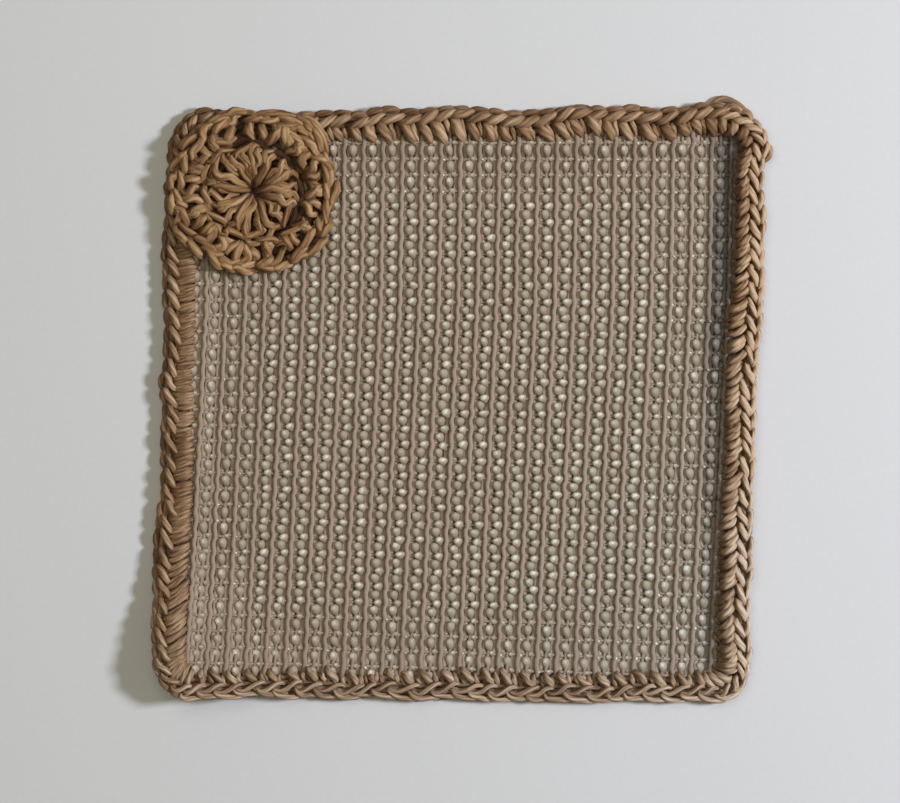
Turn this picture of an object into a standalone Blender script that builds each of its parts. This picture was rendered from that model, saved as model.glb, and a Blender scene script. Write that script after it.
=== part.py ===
"""Square jar gripper: a panel of grip mesh, a crocheted edging round it, a crocheted rosette on one corner.

Lengths are metres, +Z is up, and the gripper lies on z = 0 with its origin under the middle of its outline.
"""

import math

import bmesh
import bpy
import numpy as np

MM = 0.001
GAP = 0.3 * MM  # clearance that touching cloths keep between them

# The four corners of the outer edge, clockwise from above. A side starts at its corner and runs clockwise.
# x, y: where the two straight sides would meet; radius: rounding of the outer edge; inner: of the inner one.
CORNERS = [
    {"name": "top_left", "x": -69.15, "y": 69.0, "radius": 11.0, "inner": 3.0},
    {"name": "top_right", "x": 72.85, "y": 70.6, "radius": 9.5, "inner": 3.0},
    {"name": "bottom_right", "x": 67.75, "y": -71.5, "radius": 8.0, "inner": 3.0},
    {"name": "bottom_left", "x": -72.75, "y": -70.4, "radius": 9.5, "inner": 3.0},
]
# stitches: worked along the side; width: how far they reach over the panel; bow: how far the middle of the
# side stands out of the straight line; wave, waves: height and number of the side's slow ripples.
SIDES = [
    {"name": "top", "stitches": 34, "width": 7.8, "bow": -1.0, "wave": 0.50, "waves": 4.5},
    {"name": "right", "stitches": 37, "width": 10.0, "bow": -1.6, "wave": 0.30, "waves": 4.0},
    {"name": "bottom", "stitches": 30, "width": 8.2, "bow": 0.0, "wave": 0.20, "waves": 3.0},
    {"name": "left", "stitches": 36, "width": 8.8, "bow": -0.3, "wave": 0.35, "waves": 3.5},
]
STATIONS_A_STITCH = 2
SCALLOP = 0.30 * MM  # how far each stitch of the braid swells out of the edge
PICOT = {"side": "top", "at": 0.955, "height": 1.0 * MM, "spread": 0.035}  # small loop that ends the round

PANEL_THICK = 1.6 * MM
PANEL_EDGE_BOTTOM = 1.3 * MM  # underside of the panel where the stitches hold it
PANEL_SAG = 1.0 * MM  # the free middle lies this much lower
SAG_REACH = 16.0 * MM  # distance from the stitches over which it comes down
PANEL_TUCK = 2.6 * MM  # how far the panel runs into the edging
PANEL_CELLS = 20  # grid of the panel's solid, each way

EDGING_TOP = 4.4 * MM
LIP = PANEL_EDGE_BOTTOM - GAP  # the stitches' layer under the panel
SLOT_TOP = PANEL_EDGE_BOTTOM + PANEL_THICK + GAP

ROSETTE_CENTRE = (-49.05 * MM, 49.5 * MM)
ROSETTE_RADIUS = 20.6 * MM
ROSETTE_SEAT = EDGING_TOP + GAP  # underside of the rosette where it lies on the edging
ROSETTE_SPOKES = 16
ROSETTE_SIDES = 48
# The rosette's turned profile, middle to rim. r: share of the radius; thick: height over its underside;
# rib: how much the spokes stand out there.
ROSETTE_RINGS = [
    {"name": "dimple", "r": 0.00, "thick": 1.5, "rib": 0.00},
    {"name": "dimple_side", "r": 0.09, "thick": 2.5, "rib": 0.00},
    {"name": "inner_round", "r": 0.24, "thick": 3.3, "rib": 0.15},
    {"name": "inner_round_edge", "r": 0.46, "thick": 3.2, "rib": 0.30},
    {"name": "groove", "r": 0.56, "thick": 2.0, "rib": 0.10},
    {"name": "outer_round", "r": 0.66, "thick": 3.2, "rib": 0.30},
    {"name": "outer_round_edge", "r": 0.78, "thick": 3.1, "rib": 0.20},
    {"name": "braid_groove", "r": 0.83, "thick": 2.6, "rib": 0.00},
    {"name": "braid", "r": 0.91, "thick": 3.1, "rib": 0.00},
    {"name": "braid_side", "r": 0.985, "thick": 2.2, "rib": 0.00},
    {"name": "rim", "r": 1.00, "thick": 1.3, "rib": 0.00},
]
ROSETTE_UNDER_RINGS = [0.96, 0.80, 0.60, 0.40, 0.20]  # shares of the radius, rim to middle
BEND_REACH = 11.0 * MM  # distance inside the edging over which the rosette comes down to the panel


# ---------------------------------------------------------------- the outline that all three pieces share


def inset_corners(insets):
    """The corners, each side moved inward by its own inset in millimetres."""
    points = [np.array([c["x"], c["y"]]) for c in CORNERS]
    lines = []
    for i, point in enumerate(points):
        along = points[(i + 1) % 4] - point
        along /= np.linalg.norm(along)
        inward = np.array([along[1], -along[0]])
        lines.append((point + inward * insets[i], along))
    moved = []
    for i, (point, along) in enumerate(lines):
        before, before_along = lines[i - 1]
        share = np.linalg.solve(np.column_stack([before_along, -along]), point - before)[0]
        moved.append(before + before_along * share)
    return moved


def rounded_side(corners, radii, side, arc_steps=8):
    """Points from the middle of one corner's rounding to the middle of the next, clockwise."""
    points = []
    for end in (0, 1):
        i = (side + end) % 4
        corner = corners[i]
        back = corners[i - 1] - corner
        on = corners[(i + 1) % 4] - corner
        back /= np.linalg.norm(back)
        on /= np.linalg.norm(on)
        half = math.acos(back @ on) / 2
        to_centre = (back + on) / np.linalg.norm(back + on)
        centre = corner + to_centre * radii[i] / math.sin(half)
        sweep = math.pi / 2 - half
        out = -to_centre
        for k in range(arc_steps + 1):
            turn = sweep * k / arc_steps if end == 0 else sweep * (k / arc_steps - 1)
            c, s = math.cos(-turn), math.sin(-turn)
            points.append(centre + radii[i] * np.array([out[0] * c - out[1] * s, out[0] * s + out[1] * c]))
    return np.array(points)


def evenly_along(points, shares):
    """Points at the given shares of the line's length."""
    steps = np.linalg.norm(np.diff(points, axis=0), axis=1)
    length = np.concatenate([[0], np.cumsum(steps)])
    wanted = np.asarray(shares) * length[-1]
    return np.column_stack([np.interp(wanted, length, points[:, k]) for k in (0, 1)])


def side_swell(side, share):
    """How far the side stands out of its straight line, in millimetres; nothing at its two ends."""
    row = SIDES[side]
    middle = math.sin(math.pi * share)
    ripple = math.sin(2 * math.pi * row["waves"] * share + side)
    return row["bow"] * middle + row["wave"] * ripple * min(1.0, 3 * middle)


def side_line(corners, radii, side, shares):
    """Places along one side of an outline, in metres, and the side's outward direction."""
    points = evenly_along(rounded_side(corners, radii, side), shares)
    along = corners[(side + 1) % 4] - corners[side]
    along /= np.linalg.norm(along)
    outward = np.array([-along[1], along[0]])
    swell = np.array([side_swell(side, share) for share in shares])
    return (points + outward * swell[:, None]) * MM, outward


def edging_stations():
    """The stations round the edging, each with its outer and inner edge and what its stitch swells by."""
    outer_corners = inset_corners([0, 0, 0, 0])
    inner_corners = inset_corners([s["width"] for s in SIDES])
    stations = []
    for side, row in enumerate(SIDES):
        count = row["stitches"] * STATIONS_A_STITCH
        shares = np.arange(count) / count
        outer, outward = side_line(outer_corners, [c["radius"] for c in CORNERS], side, shares)
        inner, _ = side_line(inner_corners, [c["inner"] for c in CORNERS], side, shares)
        for k, share in enumerate(shares):
            swell = SCALLOP * math.cos(2 * math.pi * k / STATIONS_A_STITCH)
            if row["name"] == PICOT["side"]:
                swell += PICOT["height"] * math.exp(-(((share - PICOT["at"]) / PICOT["spread"]) ** 2))
            stations.append({"outer": outer[k], "inner": inner[k], "outward": outward, "swell": swell})
    return stations


def inner_edge():
    """The closed line along the inner edge of the edging."""
    return np.array([station["inner"] for station in edging_stations()])


def depth_inside(x, y, line):
    """How far a point lies inside a closed line, negative outside it."""
    ahead = np.roll(line, -1, axis=0)
    span = ahead - line
    to_point = np.array([x, y]) - line
    share = np.clip((to_point * span).sum(1) / (span**2).sum(1), 0, 1)
    distance = np.linalg.norm(to_point - span * share[:, None], axis=1).min()
    crosses = (line[:, 1] > y) != (ahead[:, 1] > y)
    rise = np.where(span[:, 1] == 0, 1, span[:, 1])
    at_x = line[:, 0] + (y - line[:, 1]) / rise * span[:, 0]
    return distance if np.count_nonzero(crosses & (x < at_x)) % 2 else -distance


def ease(share):
    share = min(1.0, max(0.0, share))
    return share * share * (3 - 2 * share)


def panel_bottom(x, y, inner):
    """Height of the panel's underside: held by the edging, lower in the free middle."""
    return PANEL_EDGE_BOTTOM - PANEL_SAG * ease(depth_inside(x, y, inner) / SAG_REACH)


# ---------------------------------------------------------------- helpers for the pieces


def finished_object(name, bm, colour, roughness):
    bmesh.ops.recalc_face_normals(bm, faces=bm.faces)
    mesh = bpy.data.meshes.new(name)
    bm.to_mesh(mesh)
    bm.free()
    material = bpy.data.materials.new(name)
    material.use_nodes = True
    shader = material.node_tree.nodes["Principled BSDF"]
    shader.inputs["Base Color"].default_value = (*colour, 1)
    shader.inputs["Roughness"].default_value = roughness
    shader.inputs["Metallic"].default_value = 0
    mesh.materials.append(material)
    mesh.shade_smooth()
    mesh.set_sharp_from_angle(angle=math.radians(50))
    obj = bpy.data.objects.new(name, mesh)
    bpy.context.collection.objects.link(obj)
    return obj


def bridge_rings(bm, rings):
    """Quads between each two neighbouring rings of vertices."""
    for a, b in zip(rings, rings[1:]):
        for k in range(len(a)):
            after = (k + 1) % len(a)
            bm.faces.new((a[k], a[after], b[after], b[k]))


# ---------------------------------------------------------------- the grip panel


def panel_place(corners, across, up):
    """A place on the panel, whose four edges bow with the sides of the edging."""
    bottom = corners[3] * (1 - across) + corners[2] * across
    top = corners[0] * (1 - across) + corners[1] * across
    x, y = bottom * (1 - up) + top * up
    x += (side_swell(1, 1 - up) * across - side_swell(3, up) * (1 - across)) * MM
    y += (side_swell(0, across) * up - side_swell(2, 1 - across) * (1 - up)) * MM
    return x, y


def make_grip_panel():
    """One sheet whose edge runs into the edging's slot."""
    inner = inner_edge()
    tucks = [s["width"] - PANEL_TUCK / MM for s in SIDES]
    corners = [c * MM for c in inset_corners(tucks)]
    bm = bmesh.new()
    layers = []
    for rise in (0, PANEL_THICK):
        grid = []
        for i in range(PANEL_CELLS + 1):
            row = []
            for j in range(PANEL_CELLS + 1):
                x, y = panel_place(corners, j / PANEL_CELLS, i / PANEL_CELLS)
                row.append(bm.verts.new((x, y, panel_bottom(x, y, inner) + rise)))
            grid.append(row)
        layers.append(grid)
    low, high = layers
    for i in range(PANEL_CELLS):
        for j in range(PANEL_CELLS):
            for grid in layers:
                bm.faces.new((grid[i][j], grid[i][j + 1], grid[i + 1][j + 1], grid[i + 1][j]))
    last = PANEL_CELLS
    rim = [(0, j) for j in range(last)] + [(i, last) for i in range(last)]
    rim += [(last, j) for j in range(last, 0, -1)] + [(i, 0) for i in range(last, 0, -1)]
    bridge_rings(bm, [[low[i][j] for i, j in rim], [high[i][j] for i, j in rim]])
    return finished_object("grip_panel", bm, colour=(0.36, 0.32, 0.26), roughness=0.4)


# ---------------------------------------------------------------- the crocheted edging

# The edging's cross-section, from its outer underside over the top and back round the slot. across: share of
# the way from the outer to the inner edge; z: height; swell: share of the stitch's scallop felt there.
EDGING_SECTION = [
    {"name": "foot_outer", "across": 0.10, "z": 0.0, "swell": 1.0},
    {"name": "side", "across": 0.00, "z": 1.7 * MM, "swell": 1.0},
    {"name": "braid_outer", "across": 0.08, "z": 3.4 * MM, "swell": 0.8},
    {"name": "braid_crest", "across": 0.26, "z": EDGING_TOP, "swell": 0.0},
    {"name": "groove", "across": 0.48, "z": 3.9 * MM, "swell": 0.0},
    {"name": "post_crest", "across": 0.72, "z": 4.2 * MM, "swell": 0.0},
    {"name": "post_end", "across": 1.00, "z": SLOT_TOP + 0.5 * MM, "swell": 0.0},
    {"name": "slot_mouth_top", "across": 1.00, "z": SLOT_TOP, "swell": 0.0},
    {"name": "slot_back_top", "across": 0.36, "z": SLOT_TOP, "swell": 0.0},
    {"name": "slot_back_low", "across": 0.36, "z": LIP, "swell": 0.0},
    {"name": "slot_mouth_low", "across": 1.00, "z": LIP, "swell": 0.0},
    {"name": "foot_inner", "across": 0.96, "z": 0.0, "swell": 0.0},
]


def make_crochet_edging():
    """A ring whose inner side has a slot that takes the panel's edge."""
    bm = bmesh.new()
    rings = []
    for station in edging_stations():
        outer, inner = station["outer"], station["inner"]
        ring = []
        for point in EDGING_SECTION:
            swell = station["outward"] * station["swell"] * point["swell"]
            x, y = outer + (inner - outer) * point["across"] + swell
            ring.append(bm.verts.new((x, y, point["z"])))
        rings.append(ring)
    bridge_rings(bm, [*rings, rings[0]])
    return finished_object("crochet_edging", bm, colour=(0.36, 0.18, 0.08), roughness=0.8)


# ---------------------------------------------------------------- the crocheted rosette


def rosette_bottom(x, y, inner):
    """Height of the rosette's underside: on the edging, then bending down towards the panel."""
    inside = depth_inside(x, y, inner)
    on_panel = panel_bottom(x, y, inner) + PANEL_THICK + GAP
    return ROSETTE_SEAT + (on_panel - ROSETTE_SEAT) * ease(inside / BEND_REACH)


def make_rosette():
    """A turned disc of two rounds and a braid, bent over the edge of the edging."""
    inner = inner_edge()
    bm = bmesh.new()
    rings = []
    for ring in ROSETTE_RINGS[1:]:
        verts = []
        for k in range(ROSETTE_SIDES):
            angle = 2 * math.pi * k / ROSETTE_SIDES
            x = ROSETTE_CENTRE[0] + ROSETTE_RADIUS * ring["r"] * math.cos(angle)
            y = ROSETTE_CENTRE[1] + ROSETTE_RADIUS * ring["r"] * math.sin(angle)
            rib = ring["rib"] * math.cos(ROSETTE_SPOKES * angle)
            verts.append(bm.verts.new((x, y, rosette_bottom(x, y, inner) + (ring["thick"] + rib) * MM)))
        rings.append(verts)
    for share in ROSETTE_UNDER_RINGS:
        verts = []
        for k in range(ROSETTE_SIDES):
            angle = 2 * math.pi * k / ROSETTE_SIDES
            x = ROSETTE_CENTRE[0] + ROSETTE_RADIUS * share * math.cos(angle)
            y = ROSETTE_CENTRE[1] + ROSETTE_RADIUS * share * math.sin(angle)
            verts.append(bm.verts.new((x, y, rosette_bottom(x, y, inner))))
        rings.append(verts)
    bridge_rings(bm, rings)
    middle_bottom = rosette_bottom(*ROSETTE_CENTRE, inner)
    for verts, rise in ((rings[0], ROSETTE_RINGS[0]["thick"] * MM), (rings[-1], 0)):
        middle = bm.verts.new((*ROSETTE_CENTRE, middle_bottom + rise))
        for k in range(ROSETTE_SIDES):
            bm.faces.new((verts[k], verts[(k + 1) % ROSETTE_SIDES], middle))
    return finished_object("rosette", bm, colour=(0.38, 0.19, 0.08), roughness=0.8)


def main():
    for obj in list(bpy.data.objects):
        bpy.data.objects.remove(obj)
    make_grip_panel()
    make_crochet_edging()
    make_rosette()


main()
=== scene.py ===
import math

import bpy
import numpy as np
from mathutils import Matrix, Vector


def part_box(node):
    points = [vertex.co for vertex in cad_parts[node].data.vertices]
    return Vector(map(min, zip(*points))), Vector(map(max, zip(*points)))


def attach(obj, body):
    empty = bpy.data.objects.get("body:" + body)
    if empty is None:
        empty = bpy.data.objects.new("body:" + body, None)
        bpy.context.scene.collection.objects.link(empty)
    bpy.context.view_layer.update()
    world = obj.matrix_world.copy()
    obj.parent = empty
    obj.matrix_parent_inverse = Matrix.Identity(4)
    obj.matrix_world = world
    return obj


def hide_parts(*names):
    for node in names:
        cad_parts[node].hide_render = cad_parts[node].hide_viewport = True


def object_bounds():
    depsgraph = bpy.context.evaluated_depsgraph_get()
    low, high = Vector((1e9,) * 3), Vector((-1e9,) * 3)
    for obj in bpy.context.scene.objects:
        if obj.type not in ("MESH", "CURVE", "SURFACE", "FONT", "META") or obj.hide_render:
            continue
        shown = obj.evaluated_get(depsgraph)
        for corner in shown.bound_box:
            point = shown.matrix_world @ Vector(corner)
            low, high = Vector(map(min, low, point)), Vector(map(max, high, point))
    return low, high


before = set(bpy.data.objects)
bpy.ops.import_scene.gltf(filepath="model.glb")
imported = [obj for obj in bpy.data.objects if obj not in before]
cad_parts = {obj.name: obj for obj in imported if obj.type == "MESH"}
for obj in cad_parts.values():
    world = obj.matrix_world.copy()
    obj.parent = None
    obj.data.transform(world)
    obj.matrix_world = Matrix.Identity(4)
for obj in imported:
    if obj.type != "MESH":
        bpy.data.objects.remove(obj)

cad_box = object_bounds()
MM = 0.001
bpy.ops.object.select_all(action="DESELECT")

# ---------------------------------------------------------------- camera
# The gripper lies on a table and is looked at from straight above. The view is 1.457 times as wide as the
# gripper, which lies a little right of its middle.

LOW, HIGH = cad_box
VIEW_WIDTH = 1.457 * (HIGH[0] - LOW[0])
CAMERA_HEIGHT = 0.62
CAMERA_X = -2.9 * MM
SENSOR = 36.0
LOOKED_AT_Z = 4.0 * MM

bpy.ops.object.camera_add(location=(CAMERA_X, 0, CAMERA_HEIGHT), rotation=(0, 0, 0))
camera = bpy.context.object
camera.name = "overhead_camera"
camera.data.sensor_width = SENSOR
camera.data.lens = SENSOR * (CAMERA_HEIGHT - LOOKED_AT_Z) / VIEW_WIDTH
camera.data.clip_start = 0.01
bpy.context.scene.camera = camera

# ---------------------------------------------------------------- table and light
# A plain pale table top. A small window on the right stands low enough to throw a shadow to the left, a large
# soft light hangs over the table, and a dim room fills the rest from all round.

ROOM_COLOUR = (1.0, 0.93, 0.76, 1)
ROOM_STRENGTH = 0.13
# Square lights, turned towards the gripper. mirrored: whether glossy surfaces show it.
LIGHTS = [
    {"name": "window", "place": (0.72, 0.07, 0.64), "size": 0.15, "power": 8.15,
     "colour": (0.853, 0.877, 1.0), "mirrored": False},
    {"name": "ceiling", "place": (-0.14, 0.18, 0.80), "size": 0.60, "power": 1.70,
     "colour": (1.0, 0.97, 0.79), "mirrored": True},
]

scene = bpy.context.scene
scene.view_settings.view_transform = "Standard"
scene.view_settings.look = "None"
scene.world = bpy.data.worlds.new("room")
scene.world.use_nodes = True
room = scene.world.node_tree.nodes["Background"]
room.inputs["Color"].default_value = ROOM_COLOUR
room.inputs["Strength"].default_value = ROOM_STRENGTH

for row in LIGHTS:
    x, y, z = row["place"]
    bpy.ops.object.light_add(type="AREA", location=row["place"])
    light = bpy.context.object
    light.name = row["name"]
    light.data.size = row["size"]
    light.data.energy = row["power"]
    light.data.color = row["colour"]
    light.visible_glossy = row["mirrored"]
    light.rotation_euler = (math.atan2(math.hypot(x, y), z), 0, math.atan2(y, x) + math.pi / 2)


class Wire:
    """A shader socket that can stand in a sum: an expression on wires adds the Math nodes it needs."""

    def __init__(self, tree, socket):
        self.tree = tree
        self.socket = socket

    def joined(self, operation, first, second=None):
        node = self.tree.nodes.new("ShaderNodeMath")
        node.operation = operation
        for slot, value in zip(node.inputs, (first, second)):
            if isinstance(value, Wire):
                self.tree.links.new(value.socket, slot)
            elif value is not None:
                slot.default_value = value
        return Wire(self.tree, node.outputs[0])

    def __add__(self, other):
        return self.joined("ADD", self, other)

    def __sub__(self, other):
        return self.joined("SUBTRACT", self, other)

    def __rsub__(self, other):
        return self.joined("SUBTRACT", other, self)

    def __mul__(self, other):
        return self.joined("MULTIPLY", self, other)

    __radd__ = __add__
    __rmul__ = __mul__


class Finish:
    """One material while it is made: its nodes, and the Principled shader they feed."""

    def __init__(self, name, **constants):
        self.material = bpy.data.materials.new(name)
        self.material.use_nodes = True
        self.tree = self.material.node_tree
        self.shader = self.tree.nodes["Principled BSDF"]
        for socket, value in constants.items():
            self.shader.inputs[socket.replace("_", " ")].default_value = value

    def node(self, kind, settings=(), out=0, **inputs):
        """A node of that kind, its settings made first, then the values or links of its sockets."""
        node = self.tree.nodes.new("ShaderNode" + kind)
        for setting, value in dict(settings).items():
            if setting == "stops":
                while len(node.color_ramp.elements) < len(value):
                    node.color_ramp.elements.new(1)
                for stop, (place, colour) in zip(node.color_ramp.elements, value):
                    stop.position = place
                    stop.color = (*colour, 1)
            else:
                setattr(node, setting, value)
        for socket, value in inputs.items():
            place = int(socket[1:]) if socket[1:].isdigit() else socket.replace("_", " ")
            self.feed(node.inputs[place], value)
        return Wire(self.tree, node.outputs[out])

    def feed(self, socket, value):
        if isinstance(value, Wire):
            self.tree.links.new(value.socket, socket)
        elif isinstance(value, tuple) and len(value) == 3 and socket.type == "RGBA":
            socket.default_value = (*value, 1)
        else:
            socket.default_value = value

    def mixed(self, share, first, second):
        """Two colours mixed by a share."""
        return self.node("Mix", {"data_type": "RGBA"}, out=2, _0=share, _6=first, _7=second)

    def attribute(self, name, out=2):
        """What the piece's mesh carries under that name: a number, or with out=1 a vector."""
        return self.node("Attribute", {"attribute_name": name}, out=out)

    def finished(self, colour, height, strength, depth, roughness=None):
        """The material, with what varies fed to its shader."""
        self.feed(self.shader.inputs["Base Color"], colour)
        if roughness is not None:
            self.feed(self.shader.inputs["Roughness"], roughness)
        bump = self.node("Bump", Height=height, Strength=strength, Distance=depth)
        self.feed(self.shader.inputs["Normal"], bump)
        return self.material


TABLE_SIZE = 3.2
TABLE_GAP = 0.05 * MM  # between the table top and the gripper
TABLE_COLOURS = (0.74, 0.745, 0.74), (0.78, 0.785, 0.78)

bpy.ops.mesh.primitive_plane_add(size=TABLE_SIZE, location=(0, 0, -TABLE_GAP))
table = bpy.context.object
table.name = "table_top"
table_finish = Finish("table_paint", Roughness=0.75)
grain = table_finish.node("TexNoise", Scale=900.0, Detail=2.0, Vector=table_finish.node("TexCoord", out=3))
table_colour = table_finish.mixed(grain, *TABLE_COLOURS)
table.data.materials.append(table_finish.finished(table_colour, grain, strength=0.05, depth=0.05 * MM))

# ---------------------------------------------------------------- grip mesh
# A square of open grip mesh: a knitted web dipped in soft foam, which leaves fat glossy beads on the chains,
# thin smooth strands between them, and fine cross threads. Its edge is cut and lies inside the crochet.

# The four corners of the outer edge, clockwise from above, in millimetres. A side starts at its corner.
CORNERS = [
    {"name": "top_left", "x": -69.15, "y": 69.0, "radius": 11.0},
    {"name": "top_right", "x": 72.85, "y": 70.6, "radius": 9.5},
    {"name": "bottom_right", "x": 67.75, "y": -71.5, "radius": 8.0},
    {"name": "bottom_left", "x": -72.75, "y": -70.4, "radius": 9.5},
]
INNER_RADIUS = 3.0  # of the corners where the stitches end on the mesh
# width: how far the stitches reach inward; bow and wave: how the side swells out, evenly and in ripples
SIDES = [
    {"name": "top", "stitches": 34, "width": 7.8, "bow": -1.0, "wave": 0.50, "waves": 4.5},
    {"name": "right", "stitches": 37, "width": 10.0, "bow": -1.6, "wave": 0.30, "waves": 4.0},
    {"name": "bottom", "stitches": 30, "width": 8.2, "bow": 0.0, "wave": 0.20, "waves": 3.0},
    {"name": "left", "stitches": 36, "width": 8.8, "bow": -0.3, "wave": 0.35, "waves": 3.5},
]
PANEL_MIDDLE = 2.1  # height of the web's middle where the stitches hold it
PANEL_SAG = 1.2  # the free middle lies this much lower
SAG_REACH = 5.0
LIFT = 5.8  # the bottom left corner stands this far off the table
LIFT_REACH = 36.0
LIFT_INSET = 2.0  # the highest place lies this far inside the corner, both ways
TUCK = 2.6  # how far the web runs into the stitches


def inset_corners(insets):
    """The corners, each side moved inward by its own inset."""
    points = [np.array([c["x"], c["y"]]) for c in CORNERS]
    lines = []
    for i, point in enumerate(points):
        along = points[(i + 1) % 4] - point
        along /= np.linalg.norm(along)
        inward = np.array([along[1], -along[0]])
        lines.append((point + inward * insets[i], along))
    moved = []
    for i, (point, along) in enumerate(lines):
        before, before_along = lines[i - 1]
        share = np.linalg.solve(np.column_stack([before_along, -along]), point - before)[0]
        moved.append(before + before_along * share)
    return moved


ARC_STEPS = 12


def rounded_side(corners, radii, side):
    """Points from the middle of one corner's rounding to the middle of the next, clockwise."""
    points = []
    for end in (0, 1):
        i = (side + end) % 4
        back = corners[i - 1] - corners[i]
        on = corners[(i + 1) % 4] - corners[i]
        back /= np.linalg.norm(back)
        on /= np.linalg.norm(on)
        half = math.acos(back @ on) / 2
        x, y = -(back + on) / np.linalg.norm(back + on)
        centre = corners[i] - np.array([x, y]) * radii[i] / math.sin(half)
        for k in range(ARC_STEPS + 1):
            turn = (math.pi / 2 - half) * (end - k / ARC_STEPS)
            c, s = math.cos(turn), math.sin(turn)
            points.append(centre + radii[i] * np.array([x * c - y * s, x * s + y * c]))
    return np.array(points)


def side_swell(side, shares):
    """How far the side stands out of its straight line; nothing at its two ends."""
    row = SIDES[side]
    middle = np.sin(np.pi * shares)
    ripple = np.sin(2 * np.pi * row["waves"] * shares + side)
    return row["bow"] * middle + row["wave"] * ripple * np.minimum(1.0, 3 * middle)


A_STITCH = 8  # points a stitch on the outlines


def closed_line(insets, radii):
    """The closed outline, each side moved inward by its own inset, in millimetres."""
    corners = inset_corners(insets)
    places = []
    for side, row in enumerate(SIDES):
        count = row["stitches"] * A_STITCH
        shares = np.arange(count) / count
        points = rounded_side(corners, radii, side)
        length = np.concatenate([[0], np.cumsum(np.linalg.norm(np.diff(points, axis=0), axis=1))])
        on = np.column_stack([np.interp(shares * length[-1], length, points[:, k]) for k in (0, 1)])
        along = corners[(side + 1) % 4] - corners[side]
        along /= np.linalg.norm(along)
        places.append(on + np.array([-along[1], along[0]]) * side_swell(side, shares)[:, None])
    return np.concatenate(places)


OUTER_LINE = closed_line([0, 0, 0, 0], [c["radius"] for c in CORNERS])
INNER_LINE = closed_line([s["width"] for s in SIDES], [INNER_RADIUS] * 4)
PANEL_LINE = closed_line([s["width"] - TUCK for s in SIDES], [INNER_RADIUS] * 4)
SIDE_STARTS = np.cumsum([0] + [s["stitches"] for s in SIDES])


def depth_inside(points, line):
    """How far each point lies inside a closed line, negative outside it."""
    ahead = np.roll(line, -1, axis=0)
    span = ahead - line
    flat = points[..., :2].reshape(-1, 2)
    depths = []
    for part in np.array_split(flat, max(1, len(flat) // 2000)):
        to_point = part[:, None, :] - line[None]
        share = np.clip((to_point * span).sum(2) / (span**2).sum(1), 0, 1)
        distance = np.linalg.norm(to_point - span * share[..., None], axis=2).min(1)
        x, y = part[:, 0, None], part[:, 1, None]
        crosses = (line[:, 1] > y) != (ahead[:, 1] > y)
        rise = np.where(span[:, 1] == 0, 1, span[:, 1])
        right = x < line[:, 0] + (y - line[:, 1]) / rise * span[:, 0]
        odd = (crosses & right).sum(1) % 2 == 1
        depths.append(np.where(odd, distance, -distance))
    return np.concatenate(depths).reshape(points.shape[:-1])


def ease(share):
    """From 0 to 1 with a soft start and end."""
    share = np.clip(share, 0, 1)
    return share * share * (3 - 2 * share)


def corner_lift(places):
    """How far the curled bottom left corner lifts each place."""
    corner = np.array([CORNERS[3]["x"], CORNERS[3]["y"]]) + LIFT_INSET
    return LIFT * ease(1 - np.linalg.norm(places[..., :2] - corner, axis=-1) / LIFT_REACH)


RIGHT_DIP = 0.08  # how much deeper the web lies beside the legs of the right side
RIGHT_DIP_FROM = 52.0
RIGHT_DIP_OVER = 6.0
RIGHT_DIP_SHIFT = 4.5  # and how much nearer to them it is already low


def web_height(points):
    """Height of the web's middle at each place, in millimetres."""
    beside_right = ease((points[..., 0] - RIGHT_DIP_FROM) / RIGHT_DIP_OVER)
    depth = depth_inside(points, INNER_LINE[::A_STITCH]) + RIGHT_DIP_SHIFT * beside_right
    sag = (PANEL_SAG + RIGHT_DIP * beside_right) * ease(depth / SAG_REACH)
    return PANEL_MIDDLE - sag + corner_lift(points)


def blank(name, sides, rings, lobes=0, groove=0.0, turns=0.0):
    """A straight round length, 1 long and 1 in radius, closed at both ends. Lobes are its plies, which lie
    round each other with that many turns and leave grooves between them."""
    bpy.ops.mesh.primitive_circle_add(vertices=sides, radius=1, fill_type="NGON", location=(0, 0, 0))
    obj = bpy.context.object
    obj.name = name
    flat = np.empty(len(obj.data.vertices) * 3)
    obj.data.vertices.foreach_get("co", flat)
    flat = flat.reshape(-1, 3)
    around = np.arctan2(flat[:, 1], flat[:, 0])
    flat[:, :2] *= (1 - groove * (1 - np.abs(np.cos(lobes * around / 2))))[:, None]
    obj.data.vertices.foreach_set("co", flat.ravel())
    bpy.ops.object.mode_set(mode="EDIT")
    bpy.ops.mesh.select_all(action="SELECT")
    for _ in range(rings - 1):
        bpy.ops.mesh.extrude_region_move(TRANSFORM_OT_translate={"value": (0, 0, 1 / (rings - 1))})
        if turns:
            twist = 2 * math.pi * turns / (rings - 1)
            bpy.ops.transform.rotate(value=twist, orient_axis="Z", center_override=(0, 0, 0))
    bpy.ops.mesh.select_all(action="SELECT")
    bpy.ops.mesh.normals_make_consistent(inside=False)
    bpy.ops.object.mode_set(mode="OBJECT")
    return obj


def take_arrays(obj):
    """A blank's points and faces as arrays; the blank itself is removed."""
    mesh = obj.data
    points = np.empty(len(mesh.vertices) * 3)
    mesh.vertices.foreach_get("co", points)
    faces = [tuple(p.vertices) for p in mesh.polygons]
    bpy.data.objects.remove(obj)
    bpy.data.meshes.remove(mesh)
    return points.reshape(-1, 3), faces


SHADE_REACH = 2.2  # how far the shade of the right side's stitches reaches over the mesh
SHADE_BELOW = 0.45  # the share of its strength that is left at the lower end, and of its reach
SHADE_REACH_BELOW = 0.6
SHADE_GROWS_FROM = -20.0
SHADE_GROWS_OVER = 60.0
SHADE_CORNER = np.array([61.6, 59.5])
SHADE_CORNER_REACH = 3.4
RIGHT_LINE = INNER_LINE[(SIDE_STARTS[1] + 2) * A_STITCH:(SIDE_STARTS[2] - 2) * A_STITCH][::-1]


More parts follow.
